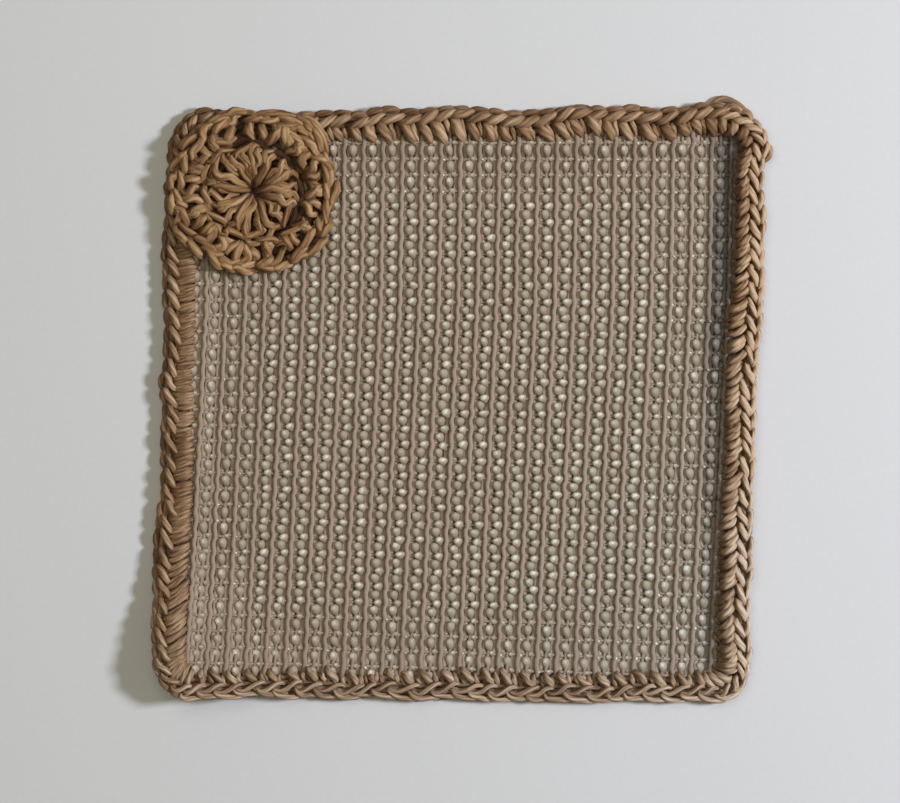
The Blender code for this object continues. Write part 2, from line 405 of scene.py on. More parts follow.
def stitch_shade(places):
    """How deep each place lies in the shade of the right side's stitches: 1 beside them, 0 clear of them."""
    gap = np.interp(places[..., 1], RIGHT_LINE[:, 1], RIGHT_LINE[:, 0]) - places[..., 0]
    upper = ease((places[..., 1] - SHADE_GROWS_FROM) / SHADE_GROWS_OVER)
    strength = SHADE_BELOW + (1 - SHADE_BELOW) * upper
    reach = SHADE_REACH * (SHADE_REACH_BELOW + (1 - SHADE_REACH_BELOW) * upper)
    beside = strength * np.exp(-(np.clip(gap, 0, None) / reach) ** 2)
    from_corner = np.linalg.norm(places[..., :2] - SHADE_CORNER, axis=-1)
    return np.maximum(beside, np.exp(-(from_corner / SHADE_CORNER_REACH) ** 2))


def smooth_piece(name, placed, faces, fibre, ply, shown, seed):
    """One piece out of copies with the same faces. placed, fibre: copies x points x 3, in millimetres; ply: 1
    on a ply and 0 between plies; shown: painted light, 1 on top and 0 in a crease, where it is painted
    darkest."""
    copies, count = placed.shape[:2]
    corners = np.concatenate([np.array(f) for f in faces])
    sizes = np.tile([len(f) for f in faces], copies)
    mesh = bpy.data.meshes.new(name)
    mesh.vertices.add(copies * count)
    mesh.vertices.foreach_set("co", (placed * MM).ravel().astype(np.float32))
    mesh.loops.add(len(corners) * copies)
    all_corners = corners[None] + np.arange(copies)[:, None] * count
    mesh.loops.foreach_set("vertex_index", all_corners.ravel().astype(np.int32))
    mesh.polygons.add(len(sizes))
    mesh.polygons.foreach_set("loop_start", (np.cumsum(sizes) - sizes).astype(np.int32))
    mesh.update(calc_edges=True)
    mesh.validate()
    fibres = mesh.attributes.new("fibre", "FLOAT_VECTOR", "POINT")
    fibres.data.foreach_set("vector", fibre.ravel().astype("f"))
    strand_shade = np.random.default_rng(seed).uniform(0, 1, (copies, 1))
    # in_shade: the painted shade beside the right side's stitches, which the foam uses
    carried = {"strand_shade": strand_shade, "ply": ply, "shown": shown, "in_shade": stitch_shade(placed)}
    for carried_name, values in carried.items():
        values = np.broadcast_to(values, (copies, count)).ravel().astype("f")
        mesh.attributes.new(carried_name, "FLOAT", "POINT").data.foreach_set("value", values)
    obj = bpy.data.objects.new(name, mesh)
    bpy.context.collection.objects.link(obj)
    mesh.shade_smooth()
    return obj


PAINTED_LIGHT_FACING = np.array([0.40, 0.0, 0.917])  # the side of every strand that is painted lightest: up and towards the window
OPEN_POWER = 1.4  # the more, the narrower that side
END_SHARE = 0.14  # the share of a strand's length over which each end is painted darker, as shade where it dips in
END_SHOWN = 0.3


def laid_along(name, form, paths, radii, squeeze, seed, painted_light):
    """One piece made of copies of a blank, each laid along its own path. paths: lines x rings x 3 in
    millimetres; radii: lines x rings; squeeze: how much flatter each lies than it is wide."""
    points, faces = form
    ring = np.unique(np.round(points[:, 2], 6), return_inverse=True)[1]
    lines = len(paths)
    rng = np.random.default_rng(seed)
    tangent = np.gradient(paths, axis=1)
    tangent /= np.linalg.norm(tangent, axis=2, keepdims=True) + 1e-12
    side = np.zeros_like(tangent)
    start = np.cross(np.array([0.0, 0.0, 1.0]), tangent[:, 0])
    weak = np.linalg.norm(start, axis=1) < 0.2
    start[weak] = np.cross(np.array([0.0, 1.0, 0.0]), tangent[weak, 0])
    side[:, 0] = start / np.linalg.norm(start, axis=1, keepdims=True)
    for k in range(1, paths.shape[1]):
        carried = side[:, k - 1] - tangent[:, k] * (side[:, k - 1] * tangent[:, k]).sum(1, keepdims=True)
        side[:, k] = carried / np.linalg.norm(carried, axis=1, keepdims=True)
    upward = np.cross(tangent, side)
    turn = rng.uniform(0, 2 * np.pi, lines)[:, None]
    across = points[None, :, 0] * np.cos(turn) - points[None, :, 1] * np.sin(turn)
    over = points[None, :, 0] * np.sin(turn) + points[None, :, 1] * np.cos(turn)
    r = radii[:, ring]
    placed = (paths[:, ring] + side[:, ring] * (across * r)[..., None]
              + upward[:, ring] * (over * r * squeeze)[..., None])
    # fibre: where each point sits in the untwisted yarn, so that a pattern on it runs along the plies
    first = points[ring == 0]
    column = np.arange(len(points)) % len(first)
    length = np.linalg.norm(np.diff(paths, axis=1), axis=2).sum(1)
    fibre = np.empty((lines, len(points), 3))
    fibre[..., 0:2] = first[column, 0:2][None]
    fibre[..., 2] = points[None, :, 2] * length[:, None] + rng.uniform(0, 500, lines)[:, None]
    reach = np.linalg.norm(first[:, :2], axis=1)
    ply = (reach - reach.min() + 1e-9) / (reach.max() - reach.min() + 1e-9)
    from_end = np.clip(np.minimum(points[:, 2], 1 - points[:, 2]) / END_SHARE, 0, 1)
    # shown: painted light, lightest on the side of each strand towards the window, darker towards its creases
    # and ends
    outward = side[:, ring] * across[..., None] + upward[:, ring] * over[..., None]
    shown = painted_light * np.clip(outward @ PAINTED_LIGHT_FACING, 0, 1) ** OPEN_POWER
    shown = shown * (END_SHOWN + (1 - END_SHOWN) * from_end)
    return smooth_piece(name, placed, faces, fibre, ply[column], shown, seed)


def joined_pieces(name, pieces):
    """Several objects joined into one piece."""
    bpy.ops.object.select_all(action="DESELECT")
    for piece in pieces:
        piece.select_set(True)
    bpy.context.view_layer.objects.active = pieces[0]
    bpy.ops.object.join()
    pieces[0].name = name
    pieces[0].data.name = name
    return pieces[0]


COLUMN_PITCH = 4.565  # between two bead chains
ROW_PITCH = 3.70  # between two knots at the left side; the rows spread a little to the right
ROW_SPREAD = 0.0009  # growth of the row pitch for each millimetre to the right
LEFT_SIDE = -66.0
ROW_FALL = 0.012  # how far a row falls for each millimetre to the right
KNOT_AT = (-12.55, 12.0)  # one knot's place, from which the mesh is counted
LEAN_LOW = 0.049  # how far a column leans right for each millimetre up, in the lower part
LEAN_HIGH = 0.018  # and above the bend
BEND_AT = 24.0
COLUMNS = np.arange(-14.0, 19.0)
ROWS = np.arange(-24.0, 18.0)
PULLED_DEPTH = 8.5  # so far from the edging the mesh is pulled straight, more or less by the wander
PULLED_EASE = 8.0
PULLED_WANDER = 2.2


def web_place(column, row):
    """Where the mesh's column and row cross, in millimetres; both may be fractions."""
    across = COLUMN_PITCH * column
    pitch = ROW_PITCH + ROW_SPREAD * (KNOT_AT[0] + across - LEFT_SIDE)
    y = KNOT_AT[1] + row * pitch - ROW_FALL * across
    low = LEAN_LOW * (np.minimum(y, BEND_AT) - KNOT_AT[1])
    high = LEAN_HIGH * np.maximum(y - BEND_AT, 0)
    return np.stack(np.broadcast_arrays(KNOT_AT[0] + across + low + high, y), axis=-1)


def stretched(points):
    """1 near the edging, where the mesh is pulled straight and its knots sink in; 0 in the free middle."""
    depth = depth_inside(points, INNER_LINE[::A_STITCH])
    wander = PULLED_WANDER * np.sin(points[..., 0] / 7.0 + 1.0) * np.sin(points[..., 1] / 9.0)
    return 1 - ease((depth + wander - PULLED_DEPTH) / PULLED_EASE)


KNOT_MARGIN = 0.9  # no knot lies nearer to the panel's cut edge
random = np.random.default_rng(7)
grid_column, grid_row = (g.ravel() for g in np.meshgrid(COLUMNS, ROWS, indexing="ij"))
knots = web_place(grid_column, grid_row)
knots = knots[depth_inside(knots, PANEL_LINE) > KNOT_MARGIN]
pulled = stretched(knots)
COUNT = len(knots)

SQUARENESS = 0.30
FOOT_FROM = -0.35  # the part of a lump that is drawn narrow, and the middle of its end
FOOT_AT = -0.7


def lump(name, segments, rings, foot):
    """A full, rather square lump with its poles ahead and behind. foot: how narrow its -Y end is drawn."""
    bpy.ops.mesh.primitive_uv_sphere_add(segments=segments, ring_count=rings, radius=1, location=(0, 0, 0))
    obj = bpy.context.object
    obj.name = name
    bpy.ops.object.modifier_add(type="CAST")
    obj.modifiers["Cast"].cast_type = "CUBOID"
    obj.modifiers["Cast"].factor = SQUARENESS
    bpy.ops.object.modifier_apply(modifier="Cast")
    bpy.ops.object.mode_set(mode="EDIT")
    bpy.ops.mesh.select_all(action="SELECT")
    bpy.ops.transform.rotate(value=math.pi / 2, orient_axis="X", center_override=(0, 0, 0))
    bpy.ops.mesh.select_all(action="DESELECT")
    bpy.ops.object.mode_set(mode="OBJECT")
    for vertex in obj.data.vertices:
        vertex.select = vertex.co.y < FOOT_FROM
    bpy.ops.object.mode_set(mode="EDIT")
    bpy.ops.transform.resize(value=(foot, 1, foot), center_override=(0, FOOT_AT, 0),
                             use_proportional_edit=True, proportional_edit_falloff="SMOOTH",
                             proportional_size=0.8)
    bpy.ops.mesh.select_all(action="SELECT")
    bpy.ops.mesh.normals_make_consistent(inside=False)
    bpy.ops.object.mode_set(mode="OBJECT")
    return take_arrays(obj)


PAINTED_HIGHLIGHT_FACING = (-0.28, 0.34, 0.90)  # where each lump is painted palest, as a painted highlight: up and a little towards the top left


def lumps_at(name, form, places, heights, sizes, turns, seed, highlight, highlight_spot):
    """One piece of lumps, each with its own three radii and turned in the plane, with a painted highlight.
    highlight: how pale each is painted at its palest; highlight_spot: the more, the smaller that painted
    spot."""
    points, faces = form
    local = points[None] * sizes[:, None]
    c, s = np.cos(turns)[:, None], np.sin(turns)[:, None]
    placed = np.stack([local[..., 0] * c - local[..., 1] * s, local[..., 0] * s + local[..., 1] * c,
                       local[..., 2]], axis=-1)
    placed[..., :2] += places[:, None]
    placed[..., 2] += heights[:, None]
    # painted highlight: each lump is painted palest where it faces up and a little towards the top left
    shown = np.clip(points @ np.array(PAINTED_HIGHLIGHT_FACING), 0, 1)[None] ** highlight_spot * np.reshape(highlight, (-1, 1))
    return smooth_piece(name, placed, faces, placed, 1.0, shown, seed)


# A knot and a bead for each crossing, in millimetres: radii, place from the crossing, height over the web's
# middle. Where the mesh is pulled straight, place and height change by the pulled values, and radii and the
# painted highlight by those shares. Each spread is how uneven they are.
KNOTS = {"name": "grip_knots", "segments": 10, "rings": 6, "foot": 0.60, "seed": 5, "highlight_spot": 2.2,
         "radii": (1.26, 1.13, 0.90), "radii_pulled": (-0.38, -0.38, -0.38), "radii_spread": 0.06,
         "place": (0.14, 0.26), "place_pulled": (0.10, 0.0), "place_spread": 0.10,
         "height": 0.42, "height_pulled": -0.40, "height_spread": 0.08,
         "turn": 0.26, "turn_spread": 0.20, "highlight": (1.10, 1.45), "highlight_pulled": -0.25}
BEADS = {"name": "bead_lumps", "segments": 10, "rings": 7, "foot": 0.66, "seed": 6, "highlight_spot": 1.9,
         "radii": (1.19, 1.27, 0.84), "radii_pulled": (-0.08, 0.18, 0.06), "radii_spread": 0.05,
         "place": (-0.80, -1.55), "place_pulled": (0.12, 0.0), "place_spread": 0.09,
         "height": 0.12, "height_pulled": 0.13, "height_spread": 0.06,
         "turn": 0.10, "turn_spread": 0.12, "highlight": (0.70, 1.00), "highlight_pulled": 0.06}


def lumps_of(kind):
    """One lump of that kind for each crossing of the mesh."""
    form = lump(kind["name"] + "_blank", kind["segments"], kind["rings"], kind["foot"])
    radii = np.array(kind["radii"]) * (1 + random.normal(0, kind["radii_spread"], (COUNT, 3)))
    radii *= 1 + pulled[:, None] * kind["radii_pulled"]
    places = knots + kind["place"] + random.normal(0, kind["place_spread"], (COUNT, 2))
    places += pulled[:, None] * kind["place_pulled"]
    heights = web_height(knots) + kind["height"] + kind["height_pulled"] * pulled
    heights += random.normal(0, kind["height_spread"], COUNT)
    turns = random.normal(kind["turn"], kind["turn_spread"], COUNT)
    highlight = random.uniform(*kind["highlight"], COUNT) * (1 + kind["highlight_pulled"] * pulled)
    return lumps_at(kind["name"], form, places, heights, radii, turns, kind["seed"], highlight, kind["highlight_spot"])


grip_knots = lumps_of(KNOTS)
bead_lumps = lumps_of(BEADS)

# Where the mesh is pulled straight, a little lump sits on many cross threads, beside their strands, painted
# pale as a glint: a painted highlight.
SPECK_PLACE = (-2.12, 0.12)
SPECK_HEIGHT = 0.42
SPECK_RADII = (0.40, 0.36, 0.40)
SPECK_FROM = 0.45  # how far the mesh has to be pulled, and the share of its crossings that have one
SPECK_SHARE = 0.4
speckled = knots[(pulled > SPECK_FROM) & (random.uniform(0, 1, COUNT) < SPECK_SHARE)]
speck_count = len(speckled)
speck_radii = np.array(SPECK_RADII) * (1 + random.normal(0, 0.12, (speck_count, 3)))
speck_places = speckled + SPECK_PLACE + random.normal(0, 0.1, (speck_count, 2))
speck_turns = random.normal(0, 0.3, speck_count)
speck_highlight = random.uniform(0.9, 1.4, speck_count)
grip_specks = lumps_at("grip_specks", lump("speck_blank", segments=8, rings=5, foot=0.9), speck_places,
                       web_height(speckled) + SPECK_HEIGHT, speck_radii, speck_turns, seed=8,
                       highlight=speck_highlight, highlight_spot=0.7)
grip_beads = joined_pieces("grip_beads", [bead_lumps, grip_specks])


def runs_inside(places, least):
    """For each line of places, the run of places that lies at least that far inside the panel's edge."""
    for k, row in enumerate(depth_inside(places, PANEL_LINE) > least):
        at = np.flatnonzero(row)
        if len(at) > 2:
            yield k, slice(at[0], at[-1] + 1)


def web_lines(name, places, heights, radii, sides, wander, least=0.0, painted_light=1.0, squeeze=0.92):
    """Tubes along lines of places, cut off where they come nearer to the panel's edge than least. heights:
    over the web's middle."""
    heights, radii = (np.broadcast_to(values, places.shape[:2]) for values in (heights, radii))
    made = []
    for k, run in runs_inside(places, least):
        spots = places[k, run]
        path = np.zeros((1, len(spots), 3))
        path[0, :, :2] = spots + random.normal(0, wander, spots.shape)
        path[0, :, 2] = web_height(spots) + heights[k, run]
        thick = radii[k, run] * (1 + random.normal(0, 0.06, len(spots)))
        form = take_arrays(blank("web_blank", sides, len(spots)))
        made.append(laid_along(name, form, path, thick[None], squeeze, k, painted_light))
    return made


# The chain inside the beads swings from knot to bead; near the edging it runs straight.
CHAIN = [
    {"name": "knot", "x": 0.0, "y": 0.0},
    {"name": "crease", "x": -0.5, "y": -0.8},
    {"name": "bead", "x": -0.94, "y": -1.62},
    {"name": "neck", "x": -0.5, "y": -2.7},
]
CHAIN_PULLED_X = -0.72
CHAIN_HEIGHT = -0.02
CHAIN_RADIUS = 0.50
chain_places = np.repeat(web_place(COLUMNS[:, None], ROWS[::-1]), len(CHAIN), axis=1)
chain_pull = stretched(chain_places)
chain_swing = np.tile([c["x"] for c in CHAIN], len(ROWS))
chain_places[..., 0] += chain_swing * (1 - chain_pull) + CHAIN_PULLED_X * chain_pull
chain_places[..., 1] += np.tile([c["y"] for c in CHAIN], len(ROWS))
chain_cores = web_lines("core", chain_places, CHAIN_HEIGHT, CHAIN_RADIUS, sides=5, wander=0.04,
                        least=0.4, painted_light=0.7)

# The thin strands run up between the chains, cross threads run through the knots, and low underlaps close the
# gaps on both sides of each chain. Together they are the knitted web under the foam.
STRAND_OFF = 1.81  # from a knot to the strand on its right
STRAND_HEIGHT = 0.10
STRAND_RADIUS = 0.64
STRAND_SWING = 0.18
steps = np.arange(len(ROWS) * 4) / 4 + ROWS[0]
strand_places = web_place(COLUMNS[:, None] + STRAND_OFF / COLUMN_PITCH, steps)
strand_places[..., 0] += STRAND_SWING * np.sin(2 * np.pi * (steps + 0.13))
strands = web_lines("strand", strand_places, STRAND_HEIGHT, STRAND_RADIUS, sides=7, wander=0.06)

UNDERLAPS = [
    {"name": "left_of_bead", "off": -1.75, "z": -0.30, "r": 0.80},
    {"name": "right_of_bead", "off": 0.72, "z": -0.50, "r": 0.95},
]
steps = np.arange(len(ROWS) * 2) / 2 + ROWS[0]
underlaps = []
for lap in UNDERLAPS:
    lap_places = web_place(COLUMNS[:, None] + lap["off"] / COLUMN_PITCH, steps)
    underlaps += web_lines("underlap", lap_places, lap["z"], lap["r"], sides=5, wander=0.08, painted_light=0.25,
                           squeeze=0.4)

# One cross thread between two strands, in millimetres from the knot.
THREAD = [
    {"name": "behind_strand", "x": -2.75, "z": -0.40, "r": 0.34},
    {"name": "lump", "x": -2.00, "z": -0.02, "r": 0.40},
    {"name": "thin", "x": -1.35, "z": -0.04, "r": 0.38},
    {"name": "knot", "x": 0.0, "z": -0.10, "r": 0.40},
    {"name": "out_of_knot", "x": 1.05, "z": -0.12, "r": 0.42},
]
LUMP_LIFTED = 0.24  # how much higher and thicker the lump is where the mesh is pulled straight
LUMP_THICKENED = 0.036
THREAD_UP = 0.09  # rows above the knot's middle
THREAD_WAVE = 0.10
thread_steps = (COLUMNS[:, None] + np.array([t["x"] for t in THREAD]) / COLUMN_PITCH).ravel()
thread_places = web_place(thread_steps, ROWS[:, None] + THREAD_UP)
thread_heights, thread_radii = (np.tile([t[key] for t in THREAD], len(COLUMNS)) for key in ("z", "r"))
lifted = np.tile([t["name"] == "lump" for t in THREAD], len(COLUMNS)) * stretched(thread_places)
thread_places[..., 1] += THREAD_WAVE * np.sin(thread_steps * 7.0)
threads = web_lines("thread", thread_places, thread_heights + LUMP_LIFTED * lifted,
                    thread_radii + LUMP_THICKENED * lifted, sides=5, wander=0.05)
grip_web = joined_pieces("grip_web", [*strands, *threads, *chain_cores])
grip_backing = joined_pieces("grip_backing", underlaps)


HALF_WIDTH = 0.07  # of the gripper, in metres


def shaded(finish, stops, share, cool, rightward, downward):
    """A colour ramp by share that turns to a cooler one towards the right and the front edge: painted light,
    the cool window light falling there. cool: what the cooler one is multiplied by."""
    cooler = [(place, tuple(c * k for c, k in zip(colour, cool))) for place, colour in stops]
    place = finish.node("TexCoord", out=3)
    across = finish.node("SeparateXYZ", _0=place) * (rightward / HALF_WIDTH)
    ahead = finish.node("SeparateXYZ", out=1, _0=place) * (-downward / HALF_WIDTH)
    turned = finish.node("Clamp", Value=across + ahead)
    return finish.mixed(turned, finish.node("ValToRGB", {"stops": stops}, Fac=share),
                        finish.node("ValToRGB", {"stops": cooler}, Fac=share))


SHADE_COLOUR = (0.085, 0.078, 0.082, 1.0)
SHADE_DEPTH = 0.76
# painted light: the foam is painted cooler towards the right and the front, where the window light falls
FOAM_COOL = (1.0, 1.06, 1.17)


def foam_finish(name, stops, roughness, coat):
    """Soft foam coating: uneven taupe with a fine pitted skin, darker in the web, with painted highlights on
    the lumps, painted light on the tops and painted shade in the creases and beside the right side's
    stitches.
    """
    finish = Finish(name, Coat_Weight=coat, Coat_Roughness=0.30, Specular_IOR_Level=0.5)
    place = finish.node("TexCoord", out=3)
    patches = finish.node("TexNoise", Vector=place, Scale=420.0, Detail=3.0, Roughness=0.6)
    pits = finish.node("TexNoise", Vector=place, Scale=2600.0, Detail=2.0)
    own_shade = finish.attribute("strand_shade") * 0.14 + 0.86
    share = finish.attribute("shown") * own_shade + patches * 0.36 + pits * 0.30 - 0.33
    colour = shaded(finish, stops, share, FOAM_COOL, rightward=0.8, downward=0.5)
    # painted shade: the foam is painted towards dark grey beside the right side's stitches and at the top
    # right corner
    colour = finish.mixed(finish.attribute("in_shade") * SHADE_DEPTH, colour, SHADE_COLOUR)
    return finish.finished(colour, pits, strength=0.35, depth=0.10 * MM, roughness=roughness + 0.18 * patches)


# The beads' palest stop is nearly white: the colour of their painted highlights.
BEAD_STOPS = [(0.0, (0.30, 0.235, 0.16)), (0.38, (0.43, 0.36, 0.257)), (0.72, (0.53, 0.455, 0.34)),
              (0.98, (0.94, 0.89, 0.76))]
WEB_STOPS = [(0.0, (0.335, 0.25, 0.18)), (0.5, (0.37, 0.286, 0.21)), (1.0, (0.42, 0.333, 0.247))]
BACKING_STOPS = [(0.0, (0.44, 0.345, 0.255)), (1.0, (0.50, 0.40, 0.30))]
bead_foam = foam_finish("bead_foam", BEAD_STOPS, roughness=0.30, coat=0.8)
grip_knots.data.materials.append(bead_foam)
grip_beads.data.materials.append(bead_foam)
grip_web.data.materials.append(foam_finish("web_foam", WEB_STOPS, roughness=0.62, coat=0.0))
grip_backing.data.materials.append(foam_finish("backing_foam", BACKING_STOPS, roughness=0.7, coat=0.0))
for piece in (grip_knots, grip_beads, grip_web, grip_backing):
    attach(piece, "root")
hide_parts("grip_panel")

# ---------------------------------------------------------------- crocheted edging
# Light brown yarn worked through the mesh all round: each stitch wraps the cut edge front and back with two
# legs, and its top is one loop of the chain braid that lies along the outer edge.

STITCHES = sum(s["stitches"] for s in SIDES)
EVERY = np.ones(STITCHES, bool)
LEFT = np.arange(STITCHES) >= SIDE_STARTS[3]
stitch_at = np.arange(STITCHES) + 0.5
from_corner = np.abs(stitch_at[:, None] - SIDE_STARTS[None]).min(1)
CORNER_STITCHES = 1.6
STRAIGHT_RUN = ~LEFT & (from_corner > CORNER_STITCHES)


def evened(values, reach):
    """Each value and its neighbours that far to both sides averaged, round a closed line."""
    padded = np.concatenate([values[-reach:], values, values[:reach]])
    return np.convolve(padded, np.ones(2 * reach + 1) / (2 * reach + 1), mode="valid")


def by_side(*values):
    """A value for every stitch out of one for each side, eased over the corners. Without one for the left
    side, it has the bottom's."""
    values = (*values, values[-1])[:4]
    return evened(np.repeat(np.array(values, float), [s["stitches"] for s in SIDES]), 2)


foot_of = np.array([INNER_LINE[np.argmin(((INNER_LINE - p) ** 2).sum(1))] for p in OUTER_LINE])
FEET_LINE = np.stack([evened(foot_of[:, k], 4) for k in (0, 1)], axis=-1)

SHORT_LEGS_AT = 38.0  # the legs are short just below the top right corner
SHORT_LEGS_BY = 2.6
SHORT_LEGS_REACH = 4.0
shortened = SHORT_LEGS_BY * np.exp(-((stitch_at - SHORT_LEGS_AT) / SHORT_LEGS_REACH) ** 2)
plain_width = by_side(*[s["width"] for s in SIDES]) + shortened

ROSETTE_MIDDLE = np.array([(low + high) / 2 / MM for low, high in zip(*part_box("rosette"))][:2])
PRESSED = 0.30  # how much flatter the edging lies under the rosette
PRESSED_WITHIN = 20.5
PRESSED_EASE = 3.0


def drift(places, amount, reach, seed):
    """A slow wander of places in the plane, so that no row of stitches runs quite true."""
    rng = np.random.default_rng(seed)
    total = np.zeros_like(places)
    for _ in range(8):
        way = rng.uniform(0, 2 * np.pi)
        wave = 2 * np.pi / (reach * rng.uniform(0.7, 1.5))
        phase = rng.uniform(0, 2 * np.pi, 2)
        along = (places[..., 0] * math.cos(way) + places[..., 1] * math.sin(way)) * wave
        total += np.stack([np.sin(along + phase[0]), np.sin(along + phase[1])], axis=-1)
    return total * amount / 2


# Where the outer edge stands out of its even line, or is drawn in: stitches along it, millimetres outward.
BULGES = [
    (0, 0.3), (8, -0.8), (11, 0.1), (13, 1.4), (14.6, 1.7), (17, 0.3), (20, 0.0), (23, 0.9), (27.5, -0.4),
    (30, 0.4), (32, -0.3), (34, -1.0), (36, -0.9), (38.5, -0.3), (43, 0.6), (49, 0.8), (53, 0.1), (57, 0.8),
    (61, 0.1), (66, 0.0), (70, 0.1), (73, -0.6), (86, -0.5), (93, -0.8), (100, -0.7), (103, 0.5), (106, 0.9),
    (110, 0.9), (114.5, 0.7), (119, 0.1), (124, 1.0), (128, 0.6), (133, 0.8),
]
BULGE_AT, BULGE_OUT = zip(*BULGES)
BRAID_WIDTH = 3.8  # the braid keeps this width everywhere; the legs reach as far as the side is wide


def round_line(line, at):
    """The place at that many stitches along a closed line."""
    counts = np.arange(len(line)) / A_STITCH
    return np.stack([np.interp(at, counts, line[:, k], period=STITCHES) for k in (0, 1)], axis=-1)


def on_edging(at, inward, z):
    """A place on the edging. at: stitches along it; inward: millimetres from the outer edge; z: height."""
    outer = round_line(OUTER_LINE, at)
    inner = round_line(FEET_LINE, at)
    way_in = (inner - outer) / np.linalg.norm(inner - outer, axis=-1, keepdims=True)
    outer = outer - way_in * np.interp(at, BULGE_AT, BULGE_OUT, period=STITCHES)[..., None]
    wide = np.linalg.norm(inner - outer, axis=-1)
    plain = np.interp(at, stitch_at, plain_width, period=STITCHES)
    further = BRAID_WIDTH + (inward - BRAID_WIDTH) * (wide - BRAID_WIDTH) / (plain - BRAID_WIDTH)
    run = np.where(inward < BRAID_WIDTH, inward, further)
    place = outer + (inner - outer) * (run / wide)[..., None]
    place = place + drift(place, amount=0.20, reach=14.0, seed=91)
    away = np.linalg.norm(place - ROSETTE_MIDDLE, axis=-1)
    flat = 1 - PRESSED * ease((PRESSED_WITHIN - away) / PRESSED_EASE)
    return np.concatenate([place, (z * flat + corner_lift(place))[..., None]], axis=-1)


def side_table(rows):
    """Control points for one strand of every stitch. Each row: one (at, inward, z) for each side."""
    return [tuple(by_side(*[side[k] for side in row]) for k in range(3)) for row in rows]


def shaken(paths, seed, uneven, whole, points):
    """Control points moved at random, each strand as a whole and then each point of it. whole, points: how
    much along, inward and up."""
    rng = np.random.default_rng(seed)
    for k in range(3):
        paths[..., k] += rng.normal(0, uneven * whole[k], (len(paths), 1))
        paths[..., k] += rng.normal(0, uneven * points[k], paths.shape[:2])
    return paths


def strand_paths(table, shift, uneven, seed, chosen):
    """Control points of one strand for each chosen stitch round the edging."""
    rows = [np.stack([np.broadcast_to(v, (STITCHES,)) for v in row], axis=-1) for row in table]
    paths = np.stack(rows, axis=1)[chosen]
    paths[..., 0] += (stitch_at[chosen] + shift)[:, None]
    uneven = np.broadcast_to(uneven, (STITCHES,))[chosen][:, None]
    paths = shaken(paths, seed, uneven, whole=(0.09, 0.20, 0.16), points=(0.02, 0.10, 0.07))
    return on_edging(paths[..., 0], paths[..., 1], paths[..., 2])


def through(controls, shares):
    """Smooth lines through control points. controls: lines x points x 3; the result: lines x shares x 3."""
    count = controls.shape[1]
    at = np.asarray(shares) * (count - 1)
    first = np.clip(at.astype(int), 0, count - 2)
    t = (at - first)[None, :, None]
    p0 = controls[:, np.maximum(first - 1, 0)]
    p1 = controls[:, first]
    p2 = controls[:, first + 1]
    p3 = controls[:, np.minimum(first + 2, count - 1)]
    return 0.5 * (2 * p1 + (p2 - p0) * t + (2 * p0 - 5 * p1 + 4 * p2 - p3) * t**2
                  + (3 * p1 - p0 - 3 * p2 + p3) * t**3)


FLATTENED = 0.86  # how much flatter each strand lies than it is wide
yarn_form = take_arrays(blank("yarn_blank", sides=16, rings=13, lobes=4, groove=0.17, turns=0.40))
plain_form = take_arrays(blank("plain_blank", sides=12, rings=9, lobes=4, groove=0.15, turns=0.35))


def yarn_strands(name, controls, radius, profile, form, seed, painted_light):
    """Yarn laid through control points. profile: share of the thickness at even steps along the strand."""
    rng = np.random.default_rng(seed)
    rings = len(np.unique(np.round(form[0][:, 2], 6)))
    shares = np.linspace(0, 1, rings)
    taper = np.interp(shares, np.linspace(0, 1, len(profile)), profile)
    thick = np.broadcast_to(radius, (len(controls),)) * (1 + rng.normal(0, 0.07, len(controls)))
    wobble = 1 + rng.normal(0, 0.03, (len(controls), rings))
    painted_light = np.broadcast_to(painted_light, (len(controls),))[:, None]
    return laid_along(name, form, through(controls, shares), thick[:, None] * taper[None] * wobble,
                      FLATTENED, seed, painted_light)


ARM_PROFILE = [0.7, 0.92, 1.05, 1.05, 0.9, 0.6]
RIM_PROFILE = [0.7, 1.0, 0.7]
LEG_PROFILE = [0.8, 0.95, 1.05, 1.0, 0.82, 0.5]
BACK_PROFILE = [0.8, 1, 1, 0.8]


def worked_round(name, table, seeds, uneven, radius, painted_light, profile, form=yarn_form, shift=0.0,
                 chosen=EVERY):
    """Yarn for one strand of each chosen stitch round the edging. seeds: for its places and its thickness."""
    paths = strand_paths(table, shift, uneven, seeds[0], chosen)
    radius, painted_light = (np.broadcast_to(values, (STITCHES,))[chosen] for values in (radius, painted_light))
    return yarn_strands(name, paths, radius, profile, form, seeds[1], painted_light)


# The two arms of each braid loop, from the sunk end behind to the tip ahead. Each row gives (stitches along,
# millimetres inward, height) for the top, right, bottom and left side. The braid is rolled outward on the top
# and the left side, so its outer arm lies low there.
INNER_ARM = side_table([
    [(-0.64, 3.60, 2.3), (-0.60, 3.00, 2.2), (-0.70, 3.10, 2.3), (-0.60, 3.75, 2.3)],
    [(-0.54, 3.70, 3.4), (-0.52, 3.15, 3.4), (-0.74, 3.65, 3.3), (-0.52, 3.65, 3.3)],
    [(-0.26, 3.35, 4.1), (-0.26, 2.85, 4.1), (-0.42, 3.50, 3.9), (-0.24, 3.15, 4.0)],
    [(0.10, 2.75, 4.2), (0.06, 2.20, 4.1), (0.02, 2.20, 3.7), (0.06, 2.50, 4.0)],
    [(0.40, 2.20, 3.8), (0.36, 1.65, 3.7), (0.38, 1.70, 3.4), (0.36, 1.90, 3.6)],
    [(0.62, 1.90, 2.8), (0.60, 1.35, 2.7), (0.74, 2.40, 3.0), (0.58, 1.50, 2.7)],
])
